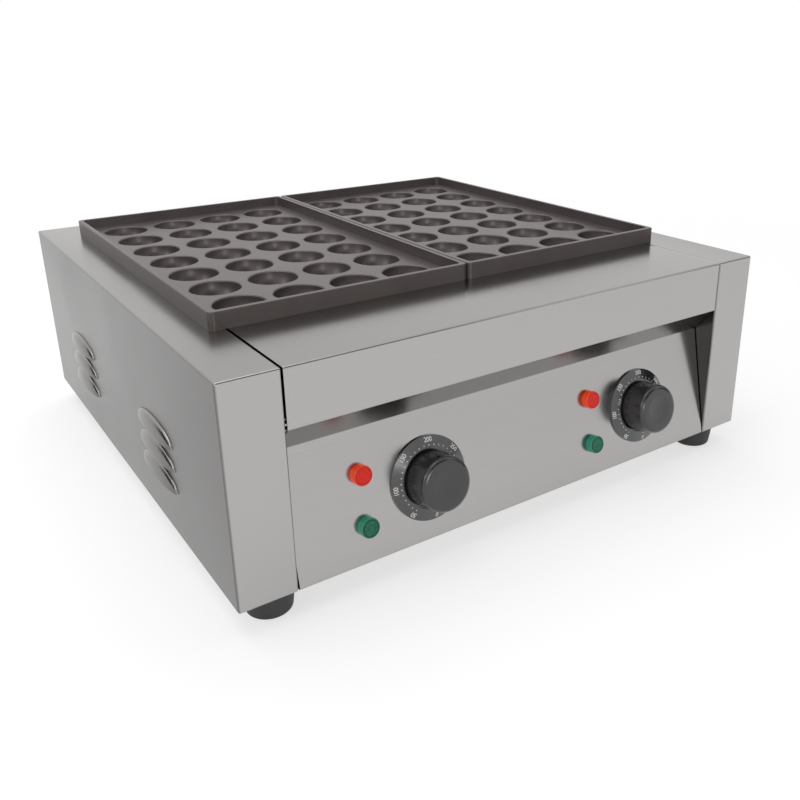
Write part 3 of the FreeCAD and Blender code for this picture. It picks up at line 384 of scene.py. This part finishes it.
def mesh_piece(name, build, material, body):
    """A piece from a function that fills a bmesh, riding on a body."""
    mesh = bpy.data.meshes.new(name)
    filling = bmesh.new()
    build(filling)
    filling.to_mesh(mesh)
    filling.free()
    piece = bpy.data.objects.new(name, mesh)
    bpy.context.scene.collection.objects.link(piece)
    mesh.materials.append(material)
    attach(piece, body)
    return piece


def number_mesh(filling, text, place):
    """A printed number as a thin mesh, centred on a place."""
    letters = bpy.data.curves.new("number", "FONT")
    letters.body = text
    letters.size = NUMBER_SIZE
    letters.align_x, letters.align_y = "CENTER", "CENTER"
    letters.extrude = INK
    letters.resolution_u = 3
    letters.space_character = 0.9
    letters.offset = LETTER_SPREAD
    holder = bpy.data.objects.new("number", letters)
    bpy.context.scene.collection.objects.link(holder)
    bpy.context.view_layer.update()
    made = bpy.data.meshes.new_from_object(holder.evaluated_get(bpy.context.evaluated_depsgraph_get()))
    made.transform(place)
    filling.from_mesh(made)
    bpy.data.objects.remove(holder)
    bpy.data.curves.remove(letters)
    bpy.data.meshes.remove(made)


def dot(filling, side, angle):
    """A printed dot, a very flat cone on the slope."""
    bmesh.ops.create_cone(
        filling, cap_ends=True, segments=DOT_SIDES, radius1=DOT_SIZE, radius2=DOT_SIZE * 0.9,
        depth=2 * INK, matrix=on_slope(side, angle, DOT_RADIUS))


def scale_marks(side):
    """The dots and numbers of one ring, as one piece that stays with the case."""
    def build(filling):
        for count in range(MARKS):
            angle = FIRST_MARK + count * STEP
            dot(filling, side, angle)
            if count % MARKS_TO_A_NUMBER == 0:
                degrees = str(FIRST_DEGREES + DEGREES_STEP * count)
                number_mesh(filling, degrees, on_slope(side, angle, NUMBER_RADIUS))
        dot(filling, side, OFF_MARK)
        number_mesh(filling, "0", on_slope(side, OFF_MARK, NUMBER_RADIUS))
    mesh_piece(f"{side}_dial_scale", build, white_ink, "case")


for side in ("left", "right"):
    scale_marks(side)


# The pointers
# White paint wiped into the short groove moulded in each knob's shoulder. It turns with the knob.

KNOB_RADIUS, KNOB_TAPER, KNOB_ROUND, KNOB_FACE = 0.0215, 0.0008, 0.004, 0.0265
PAINT_HALF_WIDTH = radians(2.3)
PAINT_FROM, PAINT_SPAN = 16, 70
PAINT_ROWS = 8
PAINT_TOP, PAINT_UNDER = 0.00005, 0.0003
POINTER = -3.0


def pointer_paint(side):
    """A thin curved strip that follows the knob's rounded shoulder."""
    def build(filling):
        centre = KNOB_RADIUS - KNOB_TAPER - KNOB_ROUND
        base = dial_frame(side) @ Matrix.Rotation(radians(-POINTER), 4, "Z")
        rows = []
        for n in range(PAINT_ROWS + 1):
            lean = radians(PAINT_FROM + PAINT_SPAN * n / PAINT_ROWS)
            for reach in (KNOB_ROUND - PAINT_TOP, KNOB_ROUND - PAINT_UNDER):
                radius = centre + reach * cos(lean)
                height = KNOB_FACE - KNOB_ROUND + reach * sin(lean)
                rows.append([filling.verts.new(base @ Vector((radius * sin(a), radius * cos(a), height)))
                             for a in (-PAINT_HALF_WIDTH, PAINT_HALF_WIDTH)])
        for n in range(PAINT_ROWS):
            top, under = rows[2 * n], rows[2 * n + 1]
            next_top, next_under = rows[2 * n + 2], rows[2 * n + 3]
            filling.faces.new((top[0], top[1], next_top[1], next_top[0]))
            filling.faces.new((under[1], under[0], next_under[0], next_under[1]))
            filling.faces.new((top[0], next_top[0], next_under[0], under[0]))
            filling.faces.new((top[1], under[1], next_under[1], next_top[1]))
        filling.faces.new((rows[0][0], rows[1][0], rows[1][1], rows[0][1]))
        filling.faces.new((rows[-2][0], rows[-2][1], rows[-1][1], rows[-1][0]))
        bmesh.ops.recalc_face_normals(filling, faces=filling.faces)
    mesh_piece(f"{side}_pointer_paint", build, white_ink, f"{side}_dial")


for side in ("left", "right"):
    pointer_paint(side)


# The lamps
# Acrylic lenses, tinted orange-red and green, on the panel. Fine prisms are moulded on the inside
# of each face, so it shows a grid. A dark ring round the face is painted shade, and a lighter edge
# round that is a painted highlight of the bevelled rim; the whole tint glows faintly as a painted glow.

LENS_FACE_M, LENS_SHADE_RING_M = 0.0052, 0.0063
FACE_FADE_M, HIGHLIGHT_FADE_M = 0.0004, 0.0008
LAMP_PLACES = {"upper": 0.067, "lower": 0.028}
LAMP_X = {"left": -0.14955, "right": 0.06955}
PANEL_FOOT = Vector((0, -0.246, 0.020))


def lamp_acrylic(name, side, rise, colour, dark, highlight_colour):
    """Tinted clear acrylic: fine prisms behind the face, a painted shade ring round them, a painted
    highlight at the edge and a faint painted glow.
    """
    panel = dial_frame(side)
    middle = PANEL_FOOT + rise * panel.col[1].to_3d()
    middle.x = LAMP_X[side]
    acrylic = blank(name)
    place = add(acrylic, "ShaderNodeTexCoord")
    near = add(acrylic, "ShaderNodeVectorMath", {"operation": "SUBTRACT"}, _0=place.outputs["Object"])
    near.inputs[1].default_value = middle
    flat = add(acrylic, "ShaderNodeVectorMath", {"operation": "CROSS_PRODUCT"}, _0=near.outputs[0])
    flat.inputs[1].default_value = panel.col[2].to_3d()
    radius = add(acrylic, "ShaderNodeVectorMath", {"operation": "LENGTH"}, _0=flat.outputs[0])
    prisms = add(acrylic, "ShaderNodeTexVoronoi", {"Scale": 800.0, "distance": "CHEBYCHEV"},
                 Vector=place.outputs["Object"])
    # Painted shade: the tint turns dark in a ring round the lens face.
    painted_shade_ring = add(acrylic, "ShaderNodeMapRange",
                 {"From Min": LENS_FACE_M, "From Max": LENS_FACE_M + FACE_FADE_M},
                 Value=radius.outputs["Value"])
    # Painted highlight: a lighter band at the lens's bevelled edge.
    painted_highlight_edge = add(acrylic, "ShaderNodeMapRange",
                {"From Min": LENS_SHADE_RING_M, "From Max": LENS_SHADE_RING_M + HIGHLIGHT_FADE_M},
                Value=radius.outputs["Value"])
    grid = add(acrylic, "ShaderNodeMapRange", {"From Max": 0.8}, Value=prisms.outputs["Distance"])
    face = mixed(acrylic, grid.outputs[0], linear(colour), linear(dark))
    inner = mixed(acrylic, painted_shade_ring.outputs[0], face, linear(dark))
    tint = mixed(acrylic, painted_highlight_edge.outputs[0], inner, linear(highlight_colour))
    relief = add(acrylic, "ShaderNodeBump", {"Strength": 0.15, "Distance": 0.0002},
                 Height=prisms.outputs["Distance"])
    # The emission in the tint is a painted glow.
    shell = add(acrylic, "ShaderNodeBsdfPrincipled",
                {"Roughness": 0.16, "IOR": 1.4, "Transmission Weight": 0.15, "Emission Strength": 0.3},
                Base_Color=tint, Emission_Color=tint, Normal=relief.outputs[0])
    add(acrylic, "ShaderNodeOutputMaterial", None, Surface=shell.outputs[0])
    return acrylic


for side in ("left", "right"):
    finish(f"{side}_upper_lamp_lens", lamp_acrylic(
        f"{side} orange acrylic", side, LAMP_PLACES["upper"], "#e81a00", "#b81200", "#ee4a1c"))
    finish(f"{side}_lower_lamp_lens", lamp_acrylic(
        f"{side} green acrylic", side, LAMP_PLACES["lower"], "#00805a", "#023d30", "#2f8a70"))


# The feet and the terminal block
# The feet are moulded rubber, dull dark grey with a fine bloom. The block inside is glazed ceramic.

rubber = blank("moulded rubber")
place = add(rubber, "ShaderNodeTexCoord")
bloom = add(rubber, "ShaderNodeTexNoise", {"Scale": 160.0, "Detail": 5.0}, Vector=place.outputs["Object"])
tone = mixed(rubber, bloom.outputs["Fac"], linear("#343435"), linear("#444445"))
relief = add(rubber, "ShaderNodeBump", {"Strength": 0.1, "Distance": 0.0003}, Height=bloom.outputs["Fac"])
shell = add(rubber, "ShaderNodeBsdfPrincipled", {"Roughness": 0.62, "IOR": 1.52},
            Base_Color=tone, Normal=relief.outputs[0])
add(rubber, "ShaderNodeOutputMaterial", None, Surface=shell.outputs[0])
for end in ("front", "back"):
    for side in ("left", "right"):
        finish(f"{end}_{side}_foot", rubber)

glaze = blank("glazed ceramic")
place = add(glaze, "ShaderNodeTexCoord")
pits = add(glaze, "ShaderNodeTexNoise", {"Scale": 300.0}, Vector=place.outputs["Object"])
gloss = add(glaze, "ShaderNodeMapRange", {"To Min": 0.15, "To Max": 0.3}, Value=pits.outputs["Fac"])
shell = add(glaze, "ShaderNodeBsdfPrincipled", {"Base Color": linear("#e6e0d2")}, Roughness=gloss.outputs[0])
add(glaze, "ShaderNodeOutputMaterial", None, Surface=shell.outputs[0])
finish("terminal_block", glaze)

bpy.context.scene.view_settings.view_transform = "Standard"
